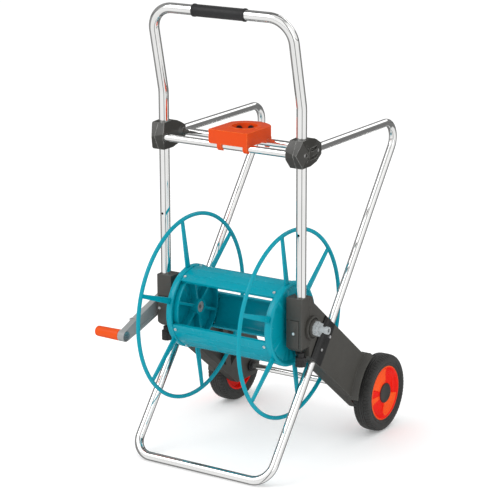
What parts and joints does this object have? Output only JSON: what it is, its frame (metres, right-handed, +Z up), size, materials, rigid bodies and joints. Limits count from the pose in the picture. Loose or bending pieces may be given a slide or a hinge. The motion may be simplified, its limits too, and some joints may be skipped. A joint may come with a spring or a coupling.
{
  "type": "garden hose reel cart",
  "caption": "Two-wheeled garden hose reel cart: chromed tube frame, crank-driven spoked drum, sliding hose guide and side water inlet.",
  "frame": {"origin": "on the floor, under the middle of the bounding box", "axes": "+X across the cart to the water inlet, +Y back to the wheels, +Z up"},
  "size_m": [0.5606, 0.6582, 1.1155],
  "materials": {
    "chrome_tube": "bright drawn tube",
    "sleeve": "matt",
    "grey_plastic": "fine grain",
    "dark_plastic": "satin",
    "bearing_plastic": "satin",
    "screw_steel": "zinc plated",
    "pale_plastic": "satin",
    "teal_lacquer": "gloss",
    "teal_plastic": "semi gloss",
    "shaft_metal": "machined",
    "crank_plastic": "silver grey, satin",
    "grip_orange": "satin",
    "tyre": "matt",
    "rim_red": "semi gloss",
    "cap_grey": "satin",
    "guide_orange": "semi gloss"
  },
  "bodies": {
    "frame": {"post_left": "chrome_tube", "post_right": "chrome_tube", "handle_loop": "chrome_tube", "handle_sleeve": "sleeve", "joint_left_inner": "grey_plastic", "joint_left_outer": "grey_plastic", "joint_right_inner": "grey_plastic", "joint_right_outer": "grey_plastic", "bar_front": "chrome_tube", "bar_rear": "chrome_tube", "stay_left": "chrome_tube", "stay_right": "chrome_tube", "foot_frame": "chrome_tube", "housing_left": "grey_plastic", "housing_right": "grey_plastic", "housing_cover_left": "grey_plastic", "housing_cover_right": "grey_plastic", "side_plate_left": "grey_plastic", "side_plate_right": "grey_plastic", "clamp_cover_left": "dark_plastic", "clamp_cover_right": "dark_plastic", "frame_screws": "screw_steel", "axle": "chrome_tube", "axle_collar_left": "dark_plastic", "axle_collar_right": "dark_plastic", "bush_left": "bearing_plastic", "bush_right": "bearing_plastic", "inlet_boss": "grey_plastic", "inlet_fitting": "pale_plastic"},
    "drum": {"drum_ring_left": "teal_lacquer", "drum_ring_right": "teal_lacquer", "drum_spokes_left": "teal_lacquer", "drum_spokes_right": "teal_lacquer", "end_disc_left": "teal_plastic", "end_disc_right": "teal_plastic", "core_panel_top": "teal_plastic", "core_panel_front": "teal_plastic", "core_panel_rear": "teal_plastic", "core_screws": "screw_steel", "shaft_left": "shaft_metal", "water_shaft": "shaft_metal", "hose_spigot": "shaft_metal", "crank_arm": "crank_plastic"},
    "crank_end": {"crank_tip": "crank_plastic", "crank_pin": "shaft_metal"},
    "grip": {"crank_grip": "grip_orange"},
    "wheel_left": {"tyre_left": "tyre", "rim_left": "rim_red", "hub_cap_left": "cap_grey"},
    "wheel_right": {"tyre_right": "tyre", "rim_right": "rim_red", "hub_cap_right": "cap_grey"},
    "hose_guide": {"guide_body": "guide_orange", "guide_pads": "dark_plastic"},
    "clamp_knob_left": {"knob_left": "dark_plastic"},
    "clamp_knob_right": {"knob_right": "dark_plastic"}
  },
  "joints": [
    {"name": "drum_spin", "type": "hinge", "parent": "frame", "child": "drum", "pos_m": [0.02425, -0.0952, 0.354], "axis": [1, 0, 0], "continuous": true},
    {"name": "crank_fold", "type": "hinge", "parent": "drum", "child": "crank_end", "pos_m": [-0.20875, -0.21091, 0.31862], "axis": [0, 0.2924, -0.9563], "range_deg": [0, 90]},
    {"name": "grip_spin", "type": "hinge", "parent": "crank_end", "child": "grip", "pos_m": [-0.24575, -0.25968, 0.30371], "axis": [-1, 0, 0], "continuous": true},
    {"name": "wheel_left_spin", "type": "hinge", "parent": "frame", "child": "wheel_left", "pos_m": [-0.19375, 0.2228, 0.099], "axis": [1, 0, 0], "continuous": true},
    {"name": "wheel_right_spin", "type": "hinge", "parent": "frame", "child": "wheel_right", "pos_m": [0.24225, 0.2228, 0.099], "axis": [1, 0, 0], "continuous": true},
    {"name": "guide_slide", "type": "slide", "parent": "frame", "child": "hose_guide", "axis": [1, 0, 0], "range_m": [-0.126, 0.096]},
    {"name": "knob_left_turn", "type": "hinge", "parent": "frame", "child": "clamp_knob_left", "pos_m": [-0.16975, -0.1202, 0.28], "axis": [0, 0, 1], "range_deg": [-180, 180]},
    {"name": "knob_right_turn", "type": "hinge", "parent": "frame", "child": "clamp_knob_right", "pos_m": [0.21825, -0.1202, 0.28], "axis": [0, 0, 1], "range_deg": [-180, 180]}
  ]
}
